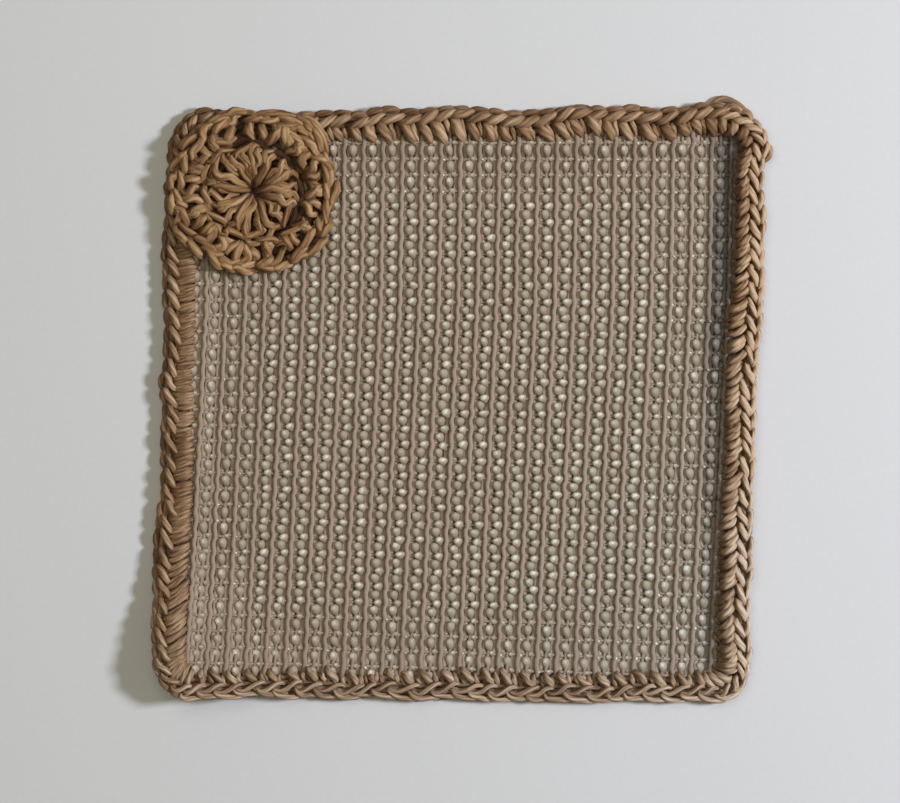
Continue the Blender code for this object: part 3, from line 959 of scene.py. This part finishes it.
OUTER_ARM = side_table([
    [(-0.58, 1.70, 1.5), (-0.62, 0.80, 1.7), (-0.80, 0.60, 1.4), (-0.58, 1.60, 1.2)],
    [(-0.48, 1.25, 2.3), (-0.54, 0.42, 2.6), (-0.66, 0.45, 2.2), (-0.48, 1.15, 1.9)],
    [(-0.20, 0.95, 2.8), (-0.28, 0.32, 3.2), (-0.25, 0.55, 3.0), (-0.20, 0.85, 2.4)],
    [(0.10, 0.90, 2.9), (0.06, 0.52, 3.5), (0.18, 0.65, 3.3), (0.10, 0.80, 2.5)],
    [(0.38, 1.05, 2.6), (0.36, 0.92, 3.5), (0.54, 1.15, 3.7), (0.38, 0.95, 2.3)],
    [(0.58, 1.50, 1.8), (0.60, 1.30, 2.6), (0.72, 2.20, 3.4), (0.58, 1.30, 1.8)],
])
RIM = side_table([
    [(-0.55, 1.6, 1.1), (-0.55, 1.5, 1.4), (-0.55, 1.4, 1.2), (-0.55, 1.6, 1.1)],
    [(-0.28, 1.0, 1.2), (-0.28, 0.9, 1.7), (-0.28, 0.8, 1.4), (-0.28, 1.0, 1.2)],
    [(0.00, 0.85, 1.2), (0.00, 0.75, 1.8), (0.00, 0.65, 1.5), (0.00, 0.85, 1.2)],
    [(0.28, 1.0, 1.1), (0.28, 0.9, 1.6), (0.28, 0.8, 1.3), (0.28, 1.0, 1.1)],
    [(0.55, 1.6, 1.0), (0.55, 1.5, 1.2), (0.55, 1.4, 1.1), (0.55, 1.6, 1.0)],
])
LOW_RIM = [(-0.5, 2.2, 0.85), (-0.25, 1.5, 0.8), (0.0, 1.2, 0.85), (0.25, 1.5, 0.8), (0.5, 2.2, 0.85)]
PAINTED_LIGHT_BY_SIDE = by_side(0.66, 1.12, 0.77, 0.72)  # how much painted light the yarn of each side gets, by how open it lies to the window
braid_strands = [
    worked_round("inner_arms", INNER_ARM, (11, 21), uneven=0.9, radius=by_side(1.05, 0.90, 0.62, 0.80),
                 painted_light=PAINTED_LIGHT_BY_SIDE * by_side(1.0, 1.35, 1.05, 1.15), profile=ARM_PROFILE),
    worked_round("outer_arms", OUTER_ARM, (12, 22), uneven=0.9, radius=by_side(0.84, 0.74, 0.62, 0.80),
                 painted_light=PAINTED_LIGHT_BY_SIDE * by_side(0.28, 1.35, 1.05, 0.38), profile=ARM_PROFILE),
    worked_round("rim_strands", RIM, (13, 23), uneven=0.6, radius=0.78, painted_light=by_side(0.25, 0.5, 0.4, 0.25),
                 profile=RIM_PROFILE, form=plain_form),
    worked_round("low_rim", LOW_RIM, (14, 24), uneven=0.6, radius=0.78, painted_light=0.3, profile=RIM_PROFILE,
                 form=plain_form, shift=0.5),
]
# Where the round of stitches ends, a small loop of the yarn stands out of the top edge near its right corner,
# and a short length bulges from the right edge below that corner. Places along each, in millimetres.
LOOSE_ENDS = [
    {"name": "end_loop", "radius": 0.80, "profile": BACK_PROFILE, "seed": 46, "painted_light": 0.30,
     "places": [(58.5, 68.4, 1.5), (59.1, 70.2, 1.1), (60.5, 71.4, 1.0), (62.4, 71.5, 1.0),
                (64.4, 70.6, 1.2), (66.2, 69.2, 1.6), (67.9, 67.2, 1.9)]},
    {"name": "end_loop_inner", "radius": 0.82, "profile": ARM_PROFILE, "seed": 47, "painted_light": 0.7,
     "places": [(59.9, 66.9, 2.4), (61.5, 68.4, 3.1), (63.1, 69.3, 3.4), (64.7, 69.0, 3.4),
                (66.3, 67.8, 3.0)]},
    {"name": "edge_bump", "radius": 0.70, "profile": ARM_PROFILE, "seed": 48, "painted_light": 0.9,
     "places": [(70.3, 61.4, 1.8), (71.6, 60.6, 2.7), (72.5, 59.2, 2.9), (72.3, 57.6, 2.7),
                (70.8, 56.4, 1.8)]},
]
for end in LOOSE_ENDS:
    braid_strands.append(yarn_strands(end["name"], np.array([end["places"]]), end["radius"], end["profile"],
                                      yarn_form, end["seed"], end["painted_light"]))
edging_braid = joined_pieces("edging_braid", braid_strands)

# The front legs of each stitch run from under the braid over the cut edge and down into a hole of the mesh.
# The left side has no thin and no low ones.
FAT_LEG = side_table([
    [(-0.48, 3.60, 2.2), (-0.40, 3.95, 2.4), (-0.46, 3.90, 2.3), (-0.34, 3.40, 2.4)],
    [(-0.44, 4.30, 3.3), (-0.22, 4.05, 3.7), (-0.42, 4.40, 3.1), (-0.34, 4.20, 3.4)],
    [(-0.34, 5.20, 3.8), (0.02, 4.80, 4.3), (-0.30, 5.20, 3.5), (-0.32, 5.30, 3.7)],
    [(-0.18, 6.20, 3.6), (0.22, 5.85, 4.2), (-0.15, 6.15, 3.4), (-0.28, 6.50, 3.6)],
    [(-0.03, 7.10, 3.0), (0.34, 6.60, 3.2), (-0.05, 7.00, 2.9), (-0.24, 7.50, 3.0)],
    [(0.05, 7.70, 1.6), (0.40, 7.15, 1.4), (0.00, 7.60, 1.5), (-0.22, 8.10, 1.5)],
])
THIN_LEG = side_table([
    [(-0.04, 3.60, 2.2), (0.10, 3.95, 2.4), (0.30, 3.80, 2.3)],
    [(0.00, 4.30, 3.3), (0.28, 4.05, 3.7), (0.33, 4.30, 3.1)],
    [(0.07, 5.10, 3.5), (0.52, 4.80, 4.3), (0.38, 5.10, 3.3)],
    [(0.15, 6.00, 3.2), (0.72, 5.85, 4.2), (0.40, 5.70, 3.0)],
    [(0.21, 6.80, 2.6), (0.82, 6.60, 3.2), (0.40, 6.40, 2.4)],
    [(0.24, 7.30, 1.6), (0.88, 7.15, 1.4), (0.38, 6.90, 1.3)],
])
LOW_LEG = side_table([
    [(0.36, 3.60, 2.0), (-0.10, 3.90, 2.2), (-0.06, 3.80, 2.0)],
    [(0.38, 4.30, 2.6), (0.00, 4.30, 2.9), (-0.04, 4.30, 2.6)],
    [(0.42, 5.00, 2.8), (0.22, 5.00, 3.3), (0.00, 5.00, 2.7)],
    [(0.46, 5.70, 2.6), (0.46, 5.85, 3.2), (0.06, 5.60, 2.4)],
    [(0.49, 6.30, 2.1), (0.60, 6.60, 2.6), (0.10, 6.20, 2.0)],
    [(0.50, 6.80, 1.2), (0.68, 7.05, 1.3), (0.12, 6.60, 1.2)],
])
# On the left side the legs are many thin strands that lie close together, like one smooth band.
# Towards the bottom left corner they stand steeper, and there are fewer of them, each a little thicker.
STEEP = 1 + 3.6 * np.exp(-((stitch_at - SIDE_STARTS[3]) / 10.0) ** 4)
BAND_LEG = [(-0.08 * STEEP, 3.30, 2.3), (-0.06 * STEEP, 4.20, 3.0), (-0.02 * STEEP, 5.30, 3.4),
            (0.04 * STEEP, 6.30, 3.7), (0.09 * STEEP, 7.05, 3.4), (0.14 * STEEP, 7.60, 1.7)]
BAND_SHIFTS = (-0.40, -0.20, 0.0, 0.20, 0.40)
BAND_RADIUS = 0.62 + 0.045 * (STEEP - 1)
FEWER_FROM = 2.5
BACK_LEG = [(-0.1, 2.6, 1.2), (0.0, 4.2, 1.1), (0.1, 6.0, 1.1), (0.2, 7.2, 1.3), (0.3, 7.8, 1.8)]
CORES = [
    {"inward": 2.0, "z": 1.9, "radius": 0.8},
    {"inward": 3.4, "z": 1.5, "radius": 0.8},
    {"inward": 3.5, "z": 2.3, "radius": 0.6},
    {"inward": 5.2, "z": 1.9, "radius": 0.8},
]


def core_line(inward, z, radius, seed):
    """A strand of yarn carried along inside the stitches, all round."""
    rng = np.random.default_rng(seed)
    steps = 3 * STITCHES
    wander = rng.normal(0, 0.10, (2, steps))
    wander = np.concatenate([wander, wander[:, :1]], axis=1)
    path = on_edging(np.arange(steps + 1) / 3, inward + wander[0], z + wander[1])[None]
    form = take_arrays(blank("core_blank", 8, steps + 1))
    thick = np.full((1, steps + 1), radius)
    return laid_along("core", form, path, thick, squeeze=1.0, seed=seed, painted_light=0.35)


CORNER_SHADE = 0.5 * np.exp(-((stitch_at - SIDE_STARTS[1]) / 3.5) ** 2)  # painted shade on the legs at the top right corner
LEGS_PAINTED_LIGHT = PAINTED_LIGHT_BY_SIDE * by_side(1.0, 0.85, 1.0, 1.0) * (1 - CORNER_SHADE)
leg_strands = [
    worked_round("fat_legs", FAT_LEG, (31, 41), uneven=by_side(1.0, 1.0, 1.4, 1.0), chosen=~LEFT,
                 radius=by_side(1.20, 0.92, 0.95, 0.68), painted_light=LEGS_PAINTED_LIGHT, profile=LEG_PROFILE),
    worked_round("thin_legs", THIN_LEG, (32, 42), uneven=1.0, chosen=STRAIGHT_RUN,
                 radius=by_side(0.64, 0.86, 0.66), painted_light=LEGS_PAINTED_LIGHT, profile=LEG_PROFILE),
    worked_round("low_legs", LOW_LEG, (35, 45), uneven=0.9, chosen=STRAIGHT_RUN,
                 radius=by_side(0.62, 0.66, 0.62), painted_light=0.5 * LEGS_PAINTED_LIGHT, profile=LEG_PROFILE,
                 form=plain_form),
]
for k, shift in enumerate(BAND_SHIFTS):
    banded = LEFT & ((k % 2 == 0) | (STEEP < FEWER_FROM))
    leg_strands.append(worked_round("band_legs", BAND_LEG, (36 + k, 46 + k), uneven=0.65, shift=shift,
                                    chosen=banded, radius=BAND_RADIUS, painted_light=1.05 * LEGS_PAINTED_LIGHT,
                                    profile=LEG_PROFILE, form=plain_form))
edging_legs = joined_pieces("edging_legs", leg_strands)
back_strands = [worked_round("back_legs", BACK_LEG, (33 + k, 43 + k), uneven=0.5, radius=0.78, painted_light=0.2,
                             profile=BACK_PROFILE, form=plain_form, shift=0.5 * k) for k in (0, 1)]
back_strands += [core_line(**core, seed=51 + k) for k, core in enumerate(CORES)]
edging_back = joined_pieces("edging_back", back_strands)

# painted light: the yarn is painted cooler and lighter towards the right and the front, where the window
# light falls
YARN_COOL = (1.09, 1.21, 1.41)
FIBRE_SCALE = (2.4, 2.4, 0.35)  # the streaks are drawn out along the fibres


def yarn_finish(name, stops):
    """Plied yarn: matt, each strand its own shade, fine fibres along the plies, painted light on the open
    tops, painted shade in the creases and between the plies.
    """
    finish = Finish(name, Sheen_Weight=0.08, Sheen_Roughness=0.4, Specular_IOR_Level=0.4)
    fibre = finish.attribute("fibre", out=1)
    fibre = finish.node("VectorMath", {"operation": "MULTIPLY"}, _0=fibre, _1=FIBRE_SCALE)
    streaks = finish.node("TexNoise", Vector=fibre, Scale=1.0, Detail=5.0, Roughness=0.7)
    patches = finish.node("TexNoise", Vector=finish.node("TexCoord", out=3), Scale=160.0, Detail=2.0)
    # painted shade between the plies, added to each strand's own tone
    own_shade = finish.attribute("strand_shade") * 0.26 + finish.attribute("ply") * 0.22
    # shown: painted light on the open side of each strand, painted shade in its creases
    share = finish.attribute("shown") * 0.66 + own_shade + streaks + patches * 0.7 - 0.85
    colour = shaded(finish, stops, share, YARN_COOL, rightward=0.35, downward=1.0)
    return finish.finished(colour, streaks, strength=0.7, depth=0.3 * MM, roughness=0.55 + 0.2 * streaks)


# Each ramp runs from the painted shade of a deep crease to the painted light on an open top.
EDGING_STOPS = [(0.0, (0.13, 0.058, 0.026)), (0.35, (0.235, 0.128, 0.064)), (0.70, (0.43, 0.275, 0.155)),
                (1.0, (0.66, 0.47, 0.30))]
edging_yarn = yarn_finish("edging_yarn", EDGING_STOPS)
for piece in (edging_braid, edging_legs, edging_back):
    piece.data.materials.append(edging_yarn)
    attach(piece, "root")
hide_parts("crochet_edging")

# ---------------------------------------------------------------- rosette
# A crocheted round of the same yarn on the top left corner: tall stitches out of a tight ring, a second round
# of bulky stitches, and a chain braid round the outside, worked off onto the edging.

SEAT = 3.9  # height of its underside on the edging
OVER_WEB = 1.1  # and over the web's middle, once it is clear of the edging
BEND_REACH = 11.0
DROOP = 1.4  # how much lower the underside lies at the outer edge
DROOP_REACH = 6.0
KEPT_INSIDE = 0.9  # no strand of it lies nearer than this to the outer edge


def rosette_floor(points):
    """Height of the rosette's underside: on the edging, then down towards the web."""
    droop = DROOP * (1 - ease(depth_inside(points, OUTER_LINE[::A_STITCH]) / DROOP_REACH))
    off_edging = ease(depth_inside(points, INNER_LINE[::A_STITCH]) / BEND_REACH)
    return SEAT - droop + (web_height(points) + OVER_WEB - SEAT) * off_edging


# The deep holes between the two rounds: millimetres from the middle, and how far each pushes the yarn aside.
ROSETTE_HOLES = [
    {"right": -3.9, "up": 10.8, "push": 1.3},
    {"right": 9.8, "up": 6.2, "push": 1.2},
    {"right": 11.6, "up": 1.6, "push": 1.0},
    {"right": 10.0, "up": -6.0, "push": 1.4},
    {"right": 5.4, "up": -10.4, "push": 1.5},
    {"right": -4.4, "up": -10.6, "push": 1.3},
    {"right": -10.8, "up": 4.2, "push": 1.1},
]
HOLE_REACH = 1.7
# How far the strands wander, at what scale, and from which radius on, over how many millimetres.
ROSETTE_DRIFTS = [
    {"amount": 0.34, "reach": 9.0, "seed": 92, "from": 0.0, "over": 6.0},
    {"amount": 0.24, "reach": 3.4, "seed": 94, "from": 1.5, "over": 5.0},
]


def on_rosette(angle, radius, z, pushed=1.0):
    """A place on the rosette. angle: turns clockwise from the top; radius: millimetres; z: over the
    underside; pushed: the share of its holes' push."""
    turn = np.pi / 2 - 2 * np.pi * angle
    place = ROSETTE_MIDDLE + radius[..., None] * np.stack([np.cos(turn), np.sin(turn)], axis=-1)
    for hole in ROSETTE_HOLES:
        off = place - ROSETTE_MIDDLE - (hole["right"], hole["up"])
        distance = np.linalg.norm(off, axis=-1, keepdims=True) + 0.01
        place = place + off / distance * pushed * hole["push"] * np.exp(-(distance / HOLE_REACH) ** 2)
    for row in ROSETTE_DRIFTS:
        share = ease((radius - row["from"]) / row["over"])[..., None]
        place = place + drift(place, row["amount"], row["reach"], row["seed"]) * share
    back = ROSETTE_MIDDLE - place
    back /= np.linalg.norm(back, axis=-1, keepdims=True)
    place = place + back * np.clip(KEPT_INSIDE - depth_inside(place, OUTER_LINE[::2]), 0, None)[..., None]
    return np.concatenate([place, (rosette_floor(place) + z)[..., None]], axis=-1)


# how much painted light the rosette's strands get on their open side
ROSETTE_PAINTED_LIGHT = 0.86


def in_the_round(name, table, count, seeds, uneven, radius, profile, form=yarn_form, shift=0.0,
                 painted_light=ROSETTE_PAINTED_LIGHT, first=0):
    """Yarn for one strand of every stitch in a round of that many, from the first that shows. table: rows of
    at, in stitches, radius and z."""
    paths = np.tile(np.array(table, float), (count, 1, 1))
    paths[..., 0] += (np.arange(count) + shift)[:, None]
    paths = shaken(paths, seeds[0], uneven, whole=(0.10, 0.30, 0.20), points=(0.05, 0.10, 0.08))
    controls = on_rosette(paths[..., 0] / count, paths[..., 1], paths[..., 2])[first:]
    return yarn_strands(name, controls, radius, profile, form, seeds[1], painted_light)


def arm(side, radius, rows):
    """The inner or the outer arm of a loop, as rows for a round. Each row: at, how far to its side of that
    radius, z."""
    return [(at, radius - off * side, z) for at, off, z in rows]


# The first round: tall stitches out of a tight ring. Their strands fan out as fat spokes and hook over at the
# end, twelve long ones with two shorter ones between each two.
SPOKES = 12
LONG_SPOKE = [(0.0, 1.5, -0.2), (0.02, 2.6, 1.7), (-0.04, 4.0, 2.9), (0.02, 5.7, 3.5), (0.08, 7.3, 3.5),
              (0.02, 8.8, 3.1), (0.14, 9.9, 2.2), (0.30, 9.9, 0.7)]
SIDE_SPOKE = [(0.0, 2.9, 0.9), (0.03, 4.3, 2.1), (-0.03, 5.6, 2.8), (0.04, 7.0, 3.2), (0.10, 8.3, 3.2),
              (0.03, 9.5, 2.8), (0.16, 10.4, 1.9), (0.34, 10.4, 0.6)]
SIDE_SHIFTS = (0.33, 0.66)
SPOKE_PROFILE = [0.66, 0.86, 0.98, 1.0, 1.03, 1.0, 0.90, 0.6]
round_strands = [in_the_round("long_spokes", LONG_SPOKE, SPOKES, (61, 71), uneven=1.2, radius=0.98,
                              profile=SPOKE_PROFILE)]
for k, shift in enumerate(SIDE_SHIFTS):
    round_strands.append(in_the_round("side_spokes", SIDE_SPOKE, SPOKES, (96 + k, 98 + k), uneven=1.4,
                                      radius=0.84, profile=SPOKE_PROFILE, shift=shift))
# The loops on top of the first round, which the second round is worked into. On the right they lie hidden.
LOOPS = 14
LOOPS_RADIUS = 11.0
FIRST_LOOP = 5
LOOP_ARM = [(-0.66, 0.9, 1.3), (-0.46, 1.2, 2.2), (-0.12, 1.0, 2.7), (0.22, 0.5, 2.6), (0.52, 0.1, 1.6)]
for side in (1, -1):
    round_strands.append(in_the_round("loops", arm(side, LOOPS_RADIUS, LOOP_ARM), LOOPS,
                                      (64 + side, 74 + side), uneven=2.0, radius=0.78, profile=ARM_PROFILE,
                                      shift=0.1, painted_light=0.7, first=FIRST_LOOP))
# The second round: bulky ribs in bunches of four.
RIB_BUNCHES = 12
RIBS_OFF = (-1.5, -0.5, 0.5, 1.5)  # each rib's place in its bunch
RIB_PROFILE = [0.7, 0.9, 1.05, 1.0, 0.8]
for k, off in enumerate(RIBS_OFF):
    rib = [(0.11 * off, 12.0, -0.2), (0.16 * off, 12.7, 1.3), (0.20 * off, 13.6, 2.3),
           (0.235 * off, 14.9, 2.3), (0.25 * off + 0.04, 16.4, 1.5)]
    round_strands.append(in_the_round("bulky_ribs", rib, RIB_BUNCHES, (64 + 2 * k, 76 + 2 * k), uneven=0.9,
                                      radius=1.14, profile=RIB_PROFILE, shift=0.35))
rosette_rounds = joined_pieces("rosette_rounds", round_strands)

# The chain braid round the outside, and the low rim under it.
BRAID_LOOPS = 27
BRAID_RADIUS = 18.1
BRAID_ARM = [(-0.66, 1.15, 1.1), (-0.54, 1.20, 1.9), (-0.24, 1.00, 2.4), (0.10, 0.65, 2.45),
             (0.40, 0.30, 2.2), (0.62, 0.05, 1.5)]
ROUND_RIM = [(-0.5, 18.0, 0.8), (-0.25, 18.8, 0.9), (0.0, 19.1, 1.0), (0.25, 18.8, 0.9), (0.5, 18.0, 0.8)]
outer_strands = [in_the_round("braid", arm(side, BRAID_RADIUS, BRAID_ARM), BRAID_LOOPS,
                              (81 + side, 84 + side), uneven=1.2, radius=1.04, profile=ARM_PROFILE)
                 for side in (1, -1)]
outer_strands.append(in_the_round("rim", ROUND_RIM, BRAID_LOOPS, (87, 88), uneven=0.5, radius=0.8,
                                  profile=RIM_PROFILE, form=plain_form, shift=0.5, painted_light=0.4))
# The yarn of the last rounds runs on into the top edging. Each row: places along one strand, in millimetres.
RUN_ONS = [
    [(-44.0, 67.4, 5.0), (-40.6, 66.4, 5.7), (-37.6, 64.6, 6.0), (-35.0, 61.8, 5.8), (-33.2, 58.2, 5.0)],
    [(-44.6, 64.9, 5.2), (-41.8, 63.7, 6.0), (-39.2, 61.9, 6.3), (-36.9, 59.8, 6.0), (-35.0, 56.8, 5.1)],
    [(-38.0, 67.0, 4.4), (-35.4, 66.0, 5.2), (-33.7, 63.9, 5.4), (-32.4, 61.0, 5.0), (-31.8, 58.2, 4.0)],
    [(-50.4, 66.6, 4.6), (-46.8, 67.6, 5.5), (-43.4, 67.6, 5.6), (-40.2, 67.0, 5.1), (-37.6, 66.0, 4.4)],
]
outer_strands.append(yarn_strands("run_ons", np.array(RUN_ONS), radius=0.88, profile=ARM_PROFILE,
                                  form=yarn_form, seed=89, painted_light=ROSETTE_PAINTED_LIGHT))
rosette_braid = joined_pieces("rosette_braid", outer_strands)

# Under the stitches lies the yarn of their backs: one low spiral that closes the rosette from below and dips
# at its middle. Its dark finish is painted shade, as it lies deep under the stitches.
SPIRAL_TURNS = 12
SPIRAL_STEPS = 30
SPIRAL_FROM, SPIRAL_GROWS = 0.2, 17.8
SPIRAL_HEIGHT = 0.5
SPIRAL_RADIUS = 0.98
DIP_DEPTH = 1.0
DIP_REACH = 2.4
spiral_at = np.arange(SPIRAL_TURNS * SPIRAL_STEPS + 1) / SPIRAL_STEPS
wander = np.random.default_rng(90).normal(0, 0.30, (2, len(spiral_at)))
spiral_r = SPIRAL_FROM + SPIRAL_GROWS * spiral_at / SPIRAL_TURNS
spiral_z = SPIRAL_HEIGHT - DIP_DEPTH * np.exp(-(spiral_r / DIP_REACH) ** 2)
spiral_path = on_rosette(spiral_at, spiral_r + wander[0], spiral_z + 0.5 * wander[1], pushed=0.0)[None]
spiral_form = take_arrays(blank("spiral_blank", 8, len(spiral_at)))
spiral_thick = np.full((1, len(spiral_at)), SPIRAL_RADIUS)
rosette_back = laid_along("rosette_back", spiral_form, spiral_path, spiral_thick, squeeze=0.9, seed=81,
                          painted_light=0.0)

ROSETTE_STOPS = [(0.0, (0.085, 0.030, 0.010)), (0.35, (0.187, 0.089, 0.036)), (0.70, (0.37, 0.213, 0.097)),
                 (1.0, (0.58, 0.37, 0.20))]
# painted shade: the back's yarn is the same yarn, painted far darker because it lies deep in shade
PAINTED_SHADE_STOPS = [(0.0, (0.040, 0.015, 0.006)), (0.5, (0.085, 0.038, 0.016)), (1.0, (0.20, 0.11, 0.052))]
rosette_yarn = yarn_finish("rosette_yarn", ROSETTE_STOPS)
rosette_rounds.data.materials.append(rosette_yarn)
rosette_braid.data.materials.append(rosette_yarn)
rosette_back.data.materials.append(yarn_finish("rosette_painted_shade", PAINTED_SHADE_STOPS))
for piece in (rosette_rounds, rosette_braid, rosette_back):
    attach(piece, "root")
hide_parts("rosette")
